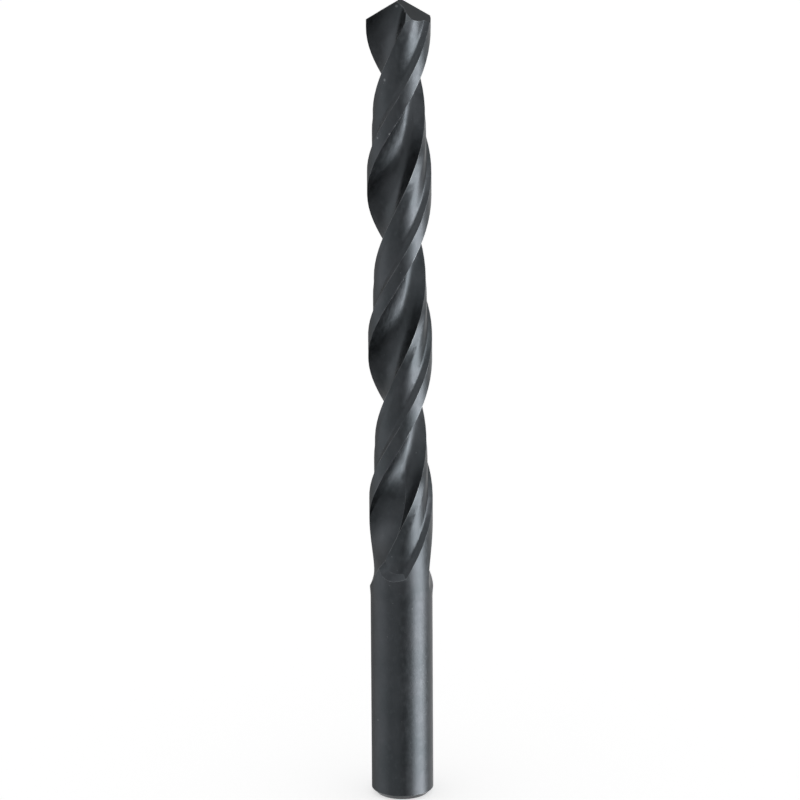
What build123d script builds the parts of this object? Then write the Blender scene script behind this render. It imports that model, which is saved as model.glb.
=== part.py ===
"""Two-flute jobber twist drill, right-hand cut, ground from one bar of high-speed steel.

The origin is the centre of the shank's end face. The drill points up +Z, and its two lips lie
parallel to X. Lengths are millimetres and angles are degrees. An angle that is said to lie behind
a leading edge is measured clockwise from it, seen from above the point.
"""
from build123d import *
from math import asin, atan, cos, degrees, pi, radians, sin, sqrt, tan
import os

# Whole tool
drill_diameter = 10.0
overall_length = 130.0
flute_length = 95.6
flute_lead = 53.2

# Shank
shank_diameter = 9.8
shank_end_chamfer = 0.8
neck_length = 1.5

# Point: two main flanks, and a steeper facet behind each
point_angle = 118.0
lip_relief_angle = 15.0
heel_facet_offset = 1.0
heel_facet_direction = 223.0
heel_facet_drop = 40.0

# Grinding wheel, where it lifts out of a groove as it follows the helix
lift_undercut = 0.05
lift_steps = 4

# Flutes
web_at_point = 1.7
web_at_flute_end = 2.6
flute_hollow = 1.2
flute_lift_angle = 63.0
flute_lift_length = 25.0

# Lands
land_angle = 88.0
heel_diameter = 8.1
crease_angle = 69.0
clearance_diameter = 8.4
clearance_length = 93.0
clearance_lift_angle = 45.0
clearance_lift_length = 7.0
margin_angle = 24.5
margin_wall_angle = 9.0
margin_foot_fillet = 0.6

radius = drill_diameter / 2
shank_radius = shank_diameter / 2
heel_radius = heel_diameter / 2
clearance_radius = clearance_diameter / 2
flute_end = overall_length - flute_length
clearance_end = overall_length - clearance_length
outside = 1.3 * radius
turn_per_mm = 360 / flute_lead
lip_slope = 1 / tan(radians(point_angle / 2))
relief_slope = tan(radians(lip_relief_angle))
half_web = web_at_point / 2
lip_level = overall_length + half_web * relief_slope
corner_angle = degrees(asin(half_web / radius))
corner_height = lip_level - lip_slope * sqrt(radius**2 - half_web**2)


def polar(distance, angle):
    """Point of the section's plane at a distance from the axis and an angle from +X."""
    return Vector(distance * cos(radians(angle)), distance * sin(radians(angle)))


def leading_angle(height):
    """Angle of the right land's leading edge at a height, along a helix of constant lead."""
    return corner_angle - turn_per_mm * (corner_height - height)


def rake_angle(distance, half_core):
    """Angle of the rake face at a distance from the axis, with the leading edge at 0.

    A straight lip that passes the axis at half the web's thickness, carried down the helix to the
    level of the outer corner, gives this curve.
    """
    along_lip = sqrt(distance**2 - half_core**2)
    full_lip = sqrt(radius**2 - half_core**2)
    lip_turn = degrees(asin(half_core / distance) - asin(half_core / radius))
    return lip_turn - (full_lip - along_lip) * lip_slope * turn_per_mm


def flute_edges(web):
    """Rake face, from the leading edge in to the web, and floor, from the web out to the heel."""
    half_core = web / 2
    core_reach = 1.002 * half_core
    hook_reach = 0.42 * radius
    reaches = [radius, 0.8 * radius, 0.6 * radius, hook_reach]
    reaches += [half_core + share * (hook_reach - half_core) for share in (0.55, 0.28, 0.12, 0.04)]
    rake_points = [polar(reach, rake_angle(reach, half_core)) for reach in reaches]
    core_angle = rake_angle(core_reach, half_core)
    core_point = polar(core_reach, core_angle)
    heel_angle = 180 - land_angle
    heel_point = polar(heel_radius, heel_angle)
    floor_pull = core_point + polar(flute_hollow, core_angle + 90)
    heel_pull = heel_point - polar(flute_hollow, heel_angle)
    rake = Spline(*rake_points, core_point)
    floor = Bezier(core_point, floor_pull, heel_pull, heel_point)
    return [rake, floor]


def land_edges():
    """Back of a land whose leading edge is at 0: margin, its wall, clearance, and heel chamfer."""
    leading = polar(radius, 0)
    margin_middle = polar(radius, -margin_angle / 2)
    wall_top = polar(radius, -margin_angle)
    foot_angle = margin_angle + margin_wall_angle
    wall_foot = polar(clearance_radius, -foot_angle)
    clearance_middle = polar(clearance_radius, -(foot_angle + crease_angle) / 2)
    crease = polar(clearance_radius, -crease_angle)
    heel = polar(heel_radius, -land_angle)
    margin = ThreePointArc(leading, margin_middle, wall_top)
    wall = Line(wall_top, wall_foot)
    clearance = ThreePointArc(wall_foot, clearance_middle, crease)
    chamfer = Line(crease, heel)
    return [margin, wall, clearance, chamfer]


def fillet_feet(outline, turns):
    """Outline with the foot of each margin's wall rounded."""
    foot = polar(clearance_radius, -margin_angle - margin_wall_angle)
    corners = [outline.vertices().sort_by_distance(foot.rotate(Axis.Z, turn))[0] for turn in turns]
    return outline.fillet_2d(margin_foot_fillet, corners)


def body_outline(web):
    """Closed outline of the fluted body's whole section, with the right land's leading edge at 0."""
    half = flute_edges(web) + [edge.rotate(Axis.Z, 180) for edge in land_edges()]
    other_half = [edge.rotate(Axis.Z, 180) for edge in half]
    return fillet_feet(Face(Wire(half + other_half)), (0, 180)).outer_wire()


def flute_outline(web):
    """Closed outline of what is ground out of the bar for one flute."""
    rake, floor = flute_edges(web)
    heel_angle = 180 - land_angle
    heel_exit = polar(outside, heel_angle)
    leading_exit = polar(outside, 0)
    heel_side = Line(floor @ 1, heel_exit)
    cover = ThreePointArc(heel_exit, polar(outside, heel_angle / 2), leading_exit)
    leading_side = Line(leading_exit, rake @ 0)
    return Wire([rake, floor, heel_side, cover, leading_side])


def relief_outline():
    """Closed outline of what is ground off the back of one land, to just past its heel."""
    wall, clearance, chamfer = land_edges()[1:]
    past_heel = chamfer @ 1 + (chamfer % 1) * 0.3 * radius
    past_exit = past_heel.normalized() * outside
    wall_exit = polar(outside, -margin_angle)
    longer_chamfer = Line(chamfer @ 0, past_heel)
    side = Line(past_heel, past_exit)
    cover = ThreePointArc(past_exit, polar(outside, -land_angle / 2), wall_exit)
    wall_side = Line(wall_exit, wall @ 0)
    outline = Face(Wire([wall, clearance, longer_chamfer, side, cover, wall_side]))
    return fillet_feet(outline, (0,)).outer_wire()


def helical_sweep(outlines, low, high):
    """Solid that turns with the flutes' lead from a low to a high level.

    The outlines are drawn with the right land's leading edge at 0, and stand at equal steps of
    height.
    """
    height = high - low
    path = Edge.make_line((0, 0, 0), (0, 0, height))
    guide = Edge.make_helix(flute_lead, height, radius)
    levels = [height * step / (len(outlines) - 1) for step in range(len(outlines))]
    wires = [
        outline.rotate(Axis.Z, turn_per_mm * level).translate((0, 0, level))
        for outline, level in zip(outlines, levels)
    ]
    solid = Solid.sweep_multi(wires, path, True, False, guide)
    return solid.rotate(Axis.Z, leading_angle(low)).translate((0, 0, low))


def left_by_wheel(groove, lift_angle, end, length):
    """What the grinding wheel leaves standing where it lifts out of a groove.

    The wheel follows the helix while it lifts. Its straight rim stands square to the direction
    ahead of the leading edge by the lift angle. Its height above the axis starts just under the
    groove's outline, and grows as the square of the way down, to the shank's surface at the end.
    """
    floor_height = groove.rotate(Axis.Z, -lift_angle).bounding_box().min.X - lift_undercut
    low = flute_end - radius
    high = end + length
    outlines = []
    for step in range(lift_steps + 1):
        way_down = (high - low) * (1 - step / lift_steps)
        height = floor_height + (shank_radius - floor_height) * (way_down / length) ** 2
        outline = Rectangle(outside + height, 3 * outside).translate(((height - outside) / 2, 0, 0))
        outlines.append(outline.rotate(Axis.Z, lift_angle).wire())
    return helical_sweep(outlines, low, high)


def blank(top):
    """Turned bar up to a height: shank with its end chamfer, neck cone and the full diameter."""
    outline = Polyline(
        (0, 0),
        (shank_radius - shank_end_chamfer, 0),
        (shank_radius, shank_end_chamfer),
        (shank_radius, flute_end - neck_length),
        (radius, flute_end),
        (radius, top),
        (0, top),
        close=True,
    )
    return revolve(Plane.XZ * make_face(outline), Axis.Z)


def groove_cutter(outline, lift_angle, end, length, high):
    """What the wheel takes away below a level: one groove with the place where it lifts out."""
    whole = helical_sweep([outline, outline], flute_end - radius / 2, high)
    return whole - left_by_wheel(outline, lift_angle, end, length)


def lower_end(top):
    """Shank and the ends of the grooves, up to a level at which all grooves have their full depth."""
    high = top + radius / 2
    flute = flute_outline(web_at_flute_end)
    relief = relief_outline()
    solid = blank(top)
    for groove in (
        groove_cutter(flute, flute_lift_angle, flute_end, flute_lift_length, high),
        groove_cutter(relief, -clearance_lift_angle, clearance_end, clearance_lift_length, high),
    ):
        solid = solid - groove
        solid = solid - groove.rotate(Axis.Z, 180)
    return solid


def above_plane(slope_x, slope_y, level):
    """Block above the plane that falls by the slopes along +X and +Y from a level on the axis."""
    side = 4 * drill_diameter
    surface = Plane(origin=(0, 0, level), z_dir=(slope_x, slope_y, 1))
    return surface * Box(side, side, side, align=(Align.CENTER, Align.CENTER, Align.MIN))


def point_cuts():
    """What the point's grinding takes off the right land: main flank and heel facet."""
    flank_level = lip_level - half_web * relief_slope
    away = polar(1, heel_facet_direction)
    drop = tan(radians(heel_facet_drop))
    facet_level = flank_level + drop * heel_facet_offset
    flank = above_plane(lip_slope, -relief_slope, flank_level)
    facet = above_plane(lip_slope + drop * away.X, drop * away.Y - relief_slope, facet_level)
    return [flank, facet]


def twist_drill():
    """The finished drill."""
    full_depth = flute_end + flute_lift_length
    top = overall_length + 1
    outlines = [body_outline(web_at_flute_end), body_outline(web_at_point)]
    body = helical_sweep(outlines, full_depth, top)
    for cut in point_cuts():
        body = body - cut
        body = body - cut.rotate(Axis.Z, 180)
    return lower_end(full_depth) + body


os.makedirs("parts", exist_ok=True)
export_step(twist_drill(), "parts/twist_drill.step")
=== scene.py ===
import bmesh
import bpy
from math import cos, pi, radians, sin
from mathutils import Matrix, Vector


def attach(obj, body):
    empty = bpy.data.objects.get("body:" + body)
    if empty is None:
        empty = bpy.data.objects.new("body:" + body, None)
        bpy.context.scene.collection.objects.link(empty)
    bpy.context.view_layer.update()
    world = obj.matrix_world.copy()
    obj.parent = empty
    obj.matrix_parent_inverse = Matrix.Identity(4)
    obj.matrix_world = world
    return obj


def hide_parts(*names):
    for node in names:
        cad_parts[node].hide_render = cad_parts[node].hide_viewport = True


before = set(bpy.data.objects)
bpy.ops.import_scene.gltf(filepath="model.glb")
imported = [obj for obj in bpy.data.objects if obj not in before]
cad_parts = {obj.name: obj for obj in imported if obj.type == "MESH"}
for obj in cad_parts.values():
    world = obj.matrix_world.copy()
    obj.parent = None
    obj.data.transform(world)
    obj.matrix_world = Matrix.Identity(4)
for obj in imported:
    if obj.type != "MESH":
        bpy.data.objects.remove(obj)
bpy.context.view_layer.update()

# Camera: where the photograph was taken from, and how large the drill is in it
CAMERA_ELEVATION = radians(18.07)
CAMERA_AZIMUTH = radians(-1.6)
CAMERA_DISTANCE = 1.104
CAMERA_ROLL = radians(-0.326)
AIM_HEIGHT = 0.06535
AXIS_COLUMN = 0.44
PIXELS_PER_METRE = 6390.0
PICTURE_WIDTH = 800.0

# Small knocks where the film is gone: centre on the drill, radius and strength
KNOCKS = [
    ((-0.00157, -0.00475, 0.10993), 0.00025, 0.9),
    ((-0.00341, -0.00365, 0.10905), 0.00022, 0.6),
    ((-0.00227, -0.00347, 0.11825), 0.0003, 0.5),
    ((-0.0003, -0.00083, 0.12927), 0.0003, 0.5),
    ((0.00091, -0.002, 0.12869), 0.0003, 0.6),
    ((-0.00393, -0.00292, 0.01305), 0.0002, 0.4),
]

# Edges whose faces meet at more than this stay sharp
SHARP_ANGLE = radians(22.0)

# Black oxide film, and the steel that shows where it is rubbed off
FILM_DARK = (0.039, 0.044, 0.048, 1.0)
FILM_LIGHT = (0.048, 0.052, 0.057, 1.0)
FILM_DUSTY = (0.060, 0.067, 0.073, 1.0)
BARE_STEEL = (0.20, 0.21, 0.22, 1.0)
WORN_EDGE_WIDTH = 0.00018
EDGE_ROUNDING = 0.00006

# White table: its paint, its own glow, and how far it lies under the shank's end
TABLE_PAINT = (0.9, 0.9, 0.9, 1.0)
TABLE_GLOW = 0.56
TABLE_SIZE = 6.0
TABLE_GAP = 0.00005

# Share of the white surroundings' brightness that lights the table
ROOM_LIGHT = 0.5

# Soft lights: name, azimuth, elevation, distance, width and height, brightness
SOFT_LIGHTS = [
    ("window_right", 67, -18, 0.7, (0.50, 0.58), 9.6),
    ("card_left", -82, -19, 0.7, (0.56, 0.28), 0.8),
    ("window_above_camera", -15, 24, 1.6, (2.0, 0.30), 1.6),
    ("window_overhead", 0, 82, 0.9, (0.5, 0.5), 2.5),
]

# Dark cards: name, azimuth, elevation, distance, width and height, share of white
DARK_CARDS = [
    ("gap_before_camera", 4, -22, 1.4, (0.48, 0.7), 0.1),
    ("gap_right", 108, -10, 0.9, (0.16, 0.6), 0.3),
    ("under_front", 38, -60, 0.45, (0.34, 0.40), 0.0),
    ("under_all", 0, -66, 0.75, (1.7, 0.66), 0.4),
    ("level_front", -25, 5, 1.35, (2.0, 0.34), 0.3),
    ("above_front", 0, 43, 1.4, (1.8, 0.55), 0.25),
    ("back_right", 150, 26, 1.0, (0.7, 0.5), 0.35),
    ("level_left", -100, 6, 1.0, (0.8, 0.28), 0.6),
    ("under_left", -100, -47, 0.8, (0.5, 0.28), 0.25),
    ("back_left", -152, -15, 0.9, (0.8, 0.7), 0.35),
]


def place_round(azimuth, elevation, distance):
    """Place round the drill's middle. Azimuth 0 is the camera's side, positive to its right."""
    away = distance * cos(radians(elevation))
    height = AIM_HEIGHT + distance * sin(radians(elevation))
    return Vector((away * sin(radians(azimuth)), -away * cos(radians(azimuth)), height))


def facing_drill(place):
    """Rotation that points an object's -Z axis at the drill's middle."""
    return (Vector((0.0, 0.0, AIM_HEIGHT)) - place).to_track_quat("-Z", "Y").to_euler()


def place_camera():
    """Camera at the photograph's angle and distance, with a long lens."""
    data = bpy.data.cameras.new("photo_camera")
    camera = bpy.data.objects.new("photo_camera", data)
    bpy.context.scene.collection.objects.link(camera)
    data.sensor_width = 36.0
    data.lens = data.sensor_width * PIXELS_PER_METRE * CAMERA_DISTANCE / PICTURE_WIDTH
    data.clip_start = 0.05
    data.clip_end = 50.0
    data.shift_x = -AXIS_COLUMN / PICTURE_WIDTH
    away = CAMERA_DISTANCE * cos(CAMERA_ELEVATION)
    height = AIM_HEIGHT + CAMERA_DISTANCE * sin(CAMERA_ELEVATION)
    place = Matrix.Translation((away * sin(CAMERA_AZIMUTH), -away * cos(CAMERA_AZIMUTH), height))
    turn = Matrix.Rotation(CAMERA_AZIMUTH, 4, "Z")
    tip = Matrix.Rotation(radians(90.0) - CAMERA_ELEVATION, 4, "X")
    roll = Matrix.Rotation(CAMERA_ROLL, 4, "Z")
    camera.matrix_world = place @ turn @ tip @ roll
    bpy.context.scene.camera = camera


def soft_light(name, azimuth, elevation, distance, size, brightness):
    """Rectangular soft light that faces the drill. Brightness is against the white background."""
    data = bpy.data.lights.new(name, "AREA")
    data.shape = "RECTANGLE"
    data.size, data.size_y = size
    data.energy = brightness * pi * size[0] * size[1]
    light = bpy.data.objects.new(name, data)
    bpy.context.scene.collection.objects.link(light)
    light.location = place_round(azimuth, elevation, distance)
    light.rotation_euler = facing_drill(light.location)
    light.visible_diffuse = False


def plane_mesh(name, width, depth):
    """Flat rectangle z = 0 over |x| <= width/2 and |y| <= depth/2."""
    data = bpy.data.meshes.new(name)
    x, y = width / 2, depth / 2
    data.from_pydata([(-x, -y, 0), (x, -y, 0), (x, y, 0), (-x, y, 0)], [], [(0, 1, 2, 3)])
    thing = bpy.data.objects.new(name, data)
    bpy.context.scene.collection.objects.link(thing)
    return thing


def dark_card(name, azimuth, elevation, distance, size, shade):
    """Card out of the picture that the steel mirrors as a dark band."""
    card = plane_mesh(name, *size)
    card.location = place_round(azimuth, elevation, distance)
    card.rotation_euler = facing_drill(card.location)
    material = bpy.data.materials.new(name)
    material.use_nodes = True
    nodes, links = material.node_tree.nodes, material.node_tree.links
    nodes.remove(nodes["Principled BSDF"])
    glow = nodes.new("ShaderNodeEmission")
    glow.inputs["Color"].default_value = (1.0, 1.0, 1.0, 1.0)
    glow.inputs["Strength"].default_value = shade
    links.new(glow.outputs["Emission"], nodes["Material Output"].inputs["Surface"])
    card.data.materials.append(material)
    card.visible_camera = False
    card.visible_diffuse = False


def white_surroundings():
    """Even white all round, for the camera and for what the steel mirrors; dimmer as a light."""
    world = bpy.data.worlds.new("white_room")
    bpy.context.scene.world = world
    world.use_nodes = True
    nodes, links = world.node_tree.nodes, world.node_tree.links
    white = nodes["Background"]
    white.inputs["Color"].default_value = (1.0, 1.0, 1.0, 1.0)
    white.inputs["Strength"].default_value = 1.0
    dim = nodes.new("ShaderNodeBackground")
    dim.inputs["Color"].default_value = (1.0, 1.0, 1.0, 1.0)
    dim.inputs["Strength"].default_value = ROOM_LIGHT
    path = nodes.new("ShaderNodeLightPath")
    seen = nodes.new("ShaderNodeMath")
    seen.operation = "MAXIMUM"
    mix = nodes.new("ShaderNodeMixShader")
    seen_or_passed = nodes.new("ShaderNodeMath")
    seen_or_passed.operation = "MAXIMUM"
    links.new(path.outputs["Is Camera Ray"], seen.inputs[0])
    links.new(path.outputs["Is Glossy Ray"], seen.inputs[1])
    links.new(seen.outputs["Value"], seen_or_passed.inputs[0])
    links.new(path.outputs["Is Transmission Ray"], seen_or_passed.inputs[1])
    links.new(seen_or_passed.outputs["Value"], mix.inputs["Fac"])
    links.new(dim.outputs["Background"], mix.inputs[1])
    links.new(white.outputs["Background"], mix.inputs[2])
    links.new(mix.outputs["Shader"], nodes["World Output"].inputs["Surface"])


def white_floor():
    """White table under the shank's end.

    It keeps a faint shadow. The steel mirrors the surroundings through it.
    """
    floor = plane_mesh("table", TABLE_SIZE, TABLE_SIZE)
    floor.location = (0.0, 0.0, -TABLE_GAP)
    material = bpy.data.materials.new("white_table")
    material.use_nodes = True
    nodes, links = material.node_tree.nodes, material.node_tree.links
    paint = nodes["Principled BSDF"]
    paint.inputs["Base Color"].default_value = TABLE_PAINT
    paint.inputs["Roughness"].default_value = 1.0
    paint.inputs["Specular IOR Level"].default_value = 0.0
    paint.inputs["Emission Color"].default_value = (1.0, 1.0, 1.0, 1.0)
    paint.inputs["Emission Strength"].default_value = TABLE_GLOW
    clear = nodes.new("ShaderNodeBsdfTransparent")
    path = nodes.new("ShaderNodeLightPath")
    mix = nodes.new("ShaderNodeMixShader")
    links.new(path.outputs["Is Camera Ray"], mix.inputs["Fac"])
    links.new(clear.outputs["BSDF"], mix.inputs[1])
    links.new(paint.outputs["BSDF"], mix.inputs[2])
    links.new(mix.outputs["Shader"], nodes["Material Output"].inputs["Surface"])
    floor.data.materials.append(material)


class Graph:
    """Short names for making and joining the nodes of one material."""

    def __init__(self, name):
        self.material = bpy.data.materials.new(name)
        self.material.use_nodes = True
        self.tree = self.material.node_tree
        self.shader = self.tree.nodes["Principled BSDF"]

    def put(self, value, socket):
        """Join an output to a socket, or set the socket to a constant."""
        if isinstance(value, bpy.types.NodeSocket):
            self.tree.links.new(value, socket)
        else:
            socket.default_value = value

    def math(self, operation, first, second):
        node = self.tree.nodes.new("ShaderNodeMath")
        node.operation = operation
        self.put(first, node.inputs[0])
        self.put(second, node.inputs[1])
        return node.outputs["Value"]

    def vector_math(self, operation, first, second, output="Vector"):
        node = self.tree.nodes.new("ShaderNodeVectorMath")
        node.operation = operation
        self.put(first, node.inputs[0])
        self.put(second, node.inputs[1])
        return node.outputs[output]

    def place(self, scale):
        """Place on the drill in its own metres, stretched by a scale for each axis."""
        node = self.tree.nodes.new("ShaderNodeTexCoord")
        return self.vector_math("MULTIPLY", node.outputs["Object"], scale)

    def noise(self, place, scale, detail=3.0, roughness=0.5):
        node = self.tree.nodes.new("ShaderNodeTexNoise")
        self.put(place, node.inputs["Vector"])
        node.inputs["Scale"].default_value = scale
        node.inputs["Detail"].default_value = detail
        node.inputs["Roughness"].default_value = roughness
        return node.outputs["Fac"]

    def span(self, value, low, high, to_low=0.0, to_high=1.0):
        """Value from low to high, eased and clamped, as a value between two others."""
        node = self.tree.nodes.new("ShaderNodeMapRange")
        node.interpolation_type = "SMOOTHSTEP"
        self.put(value, node.inputs["Value"])
        node.inputs["From Min"].default_value = low
        node.inputs["From Max"].default_value = high
        node.inputs["To Min"].default_value = to_low
        node.inputs["To Max"].default_value = to_high
        return node.outputs["Result"]

    def blend(self, share, first, second):
        node = self.tree.nodes.new("ShaderNodeMix")
        node.data_type = "RGBA"
        self.put(share, node.inputs["Factor"])
        self.put(first, node.inputs["A"])
        self.put(second, node.inputs["B"])
        return node.outputs["Result"]

    def bevel(self, width):
        node = self.tree.nodes.new("ShaderNodeBevel")
        node.samples = 6
        node.inputs["Radius"].default_value = width
        return node.outputs["Normal"]


def black_oxide_steel():
    """Oxidised high-speed steel: blue-black film in soft patches, rubbed brighter on the edges."""
    g = Graph("black_oxide_steel")
    even = g.place((1.0, 1.0, 1.0))
    patches = g.noise(even, 180.0, 3.0)
    mottle = g.noise(g.place((1.0, 1.0, 0.6)), 1500.0, 4.0, 0.6)
    film = g.blend(g.span(patches, 0.35, 0.65), FILM_DARK, FILM_LIGHT)
    film = g.blend(g.span(mottle, 0.45, 0.75, 0.0, 0.5), film, FILM_DUSTY)

    rounded = g.bevel(WORN_EDGE_WIDTH)
    facing = g.tree.nodes.new("ShaderNodeNewGeometry").outputs["Normal"]
    bend = g.vector_math("DOT_PRODUCT", rounded, facing, "Value")
    edge = g.span(bend, 0.995, 0.93)
    rubbed = g.math("MULTIPLY", edge, g.span(g.noise(even, 420.0, 3.0), 0.38, 0.62, 0.05, 0.5))
    specks = g.span(g.noise(even, 2300.0, 1.0), 0.76, 0.84, 0.0, 0.4)
    bare = g.math("MAXIMUM", rubbed, specks)
    for centre, radius, strength in KNOCKS:
        away = g.vector_math("DISTANCE", even, centre, "Value")
        bare = g.math("MAXIMUM", bare, g.span(away, radius, 0.3 * radius, 0.0, strength))
    color = g.blend(bare, film, BARE_STEEL)
    g.put(color, g.shader.inputs["Base Color"])
    g.put(1.0, g.shader.inputs["Metallic"])
    g.put(g.span(mottle, 0.3, 0.7, 0.36, 0.46), g.shader.inputs["Roughness"])

    bump = g.tree.nodes.new("ShaderNodeBump")
    bump.inputs["Strength"].default_value = 0.35
    bump.inputs["Distance"].default_value = 0.00001
    g.put(mottle, bump.inputs["Height"])
    g.put(g.bevel(EDGE_ROUNDING), bump.inputs["Normal"])
    g.put(bump.outputs["Normal"], g.shader.inputs["Normal"])
    return g.material


def dressed_drill(node):
    """Copy of the drill's CAD mesh with its seams closed, smooth but for its sharp edges."""
    drill = node.copy()
    drill.data = node.data.copy()
    drill.name = "drill"
    bpy.context.scene.collection.objects.link(drill)
    drill.parent = None
    drill.matrix_world = node.matrix_world
    mesh = bmesh.new()
    mesh.from_mesh(drill.data)
    bmesh.ops.remove_doubles(mesh, verts=mesh.verts, dist=1e-7)
    for face in mesh.faces:
        face.smooth = True
    for edge in mesh.edges:
        edge.smooth = edge.calc_face_angle(0.0) < SHARP_ANGLE
    mesh.to_mesh(drill.data)
    mesh.free()
    drill.data.materials.clear()
    drill.data.materials.append(black_oxide_steel())
    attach(drill, "root")
    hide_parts("twist_drill")


place_camera()
white_surroundings()
white_floor()
for light in SOFT_LIGHTS:
    soft_light(*light)
for card in DARK_CARDS:
    dark_card(*card)
dressed_drill(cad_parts["twist_drill"])
bpy.context.scene.view_settings.view_transform = "Standard"
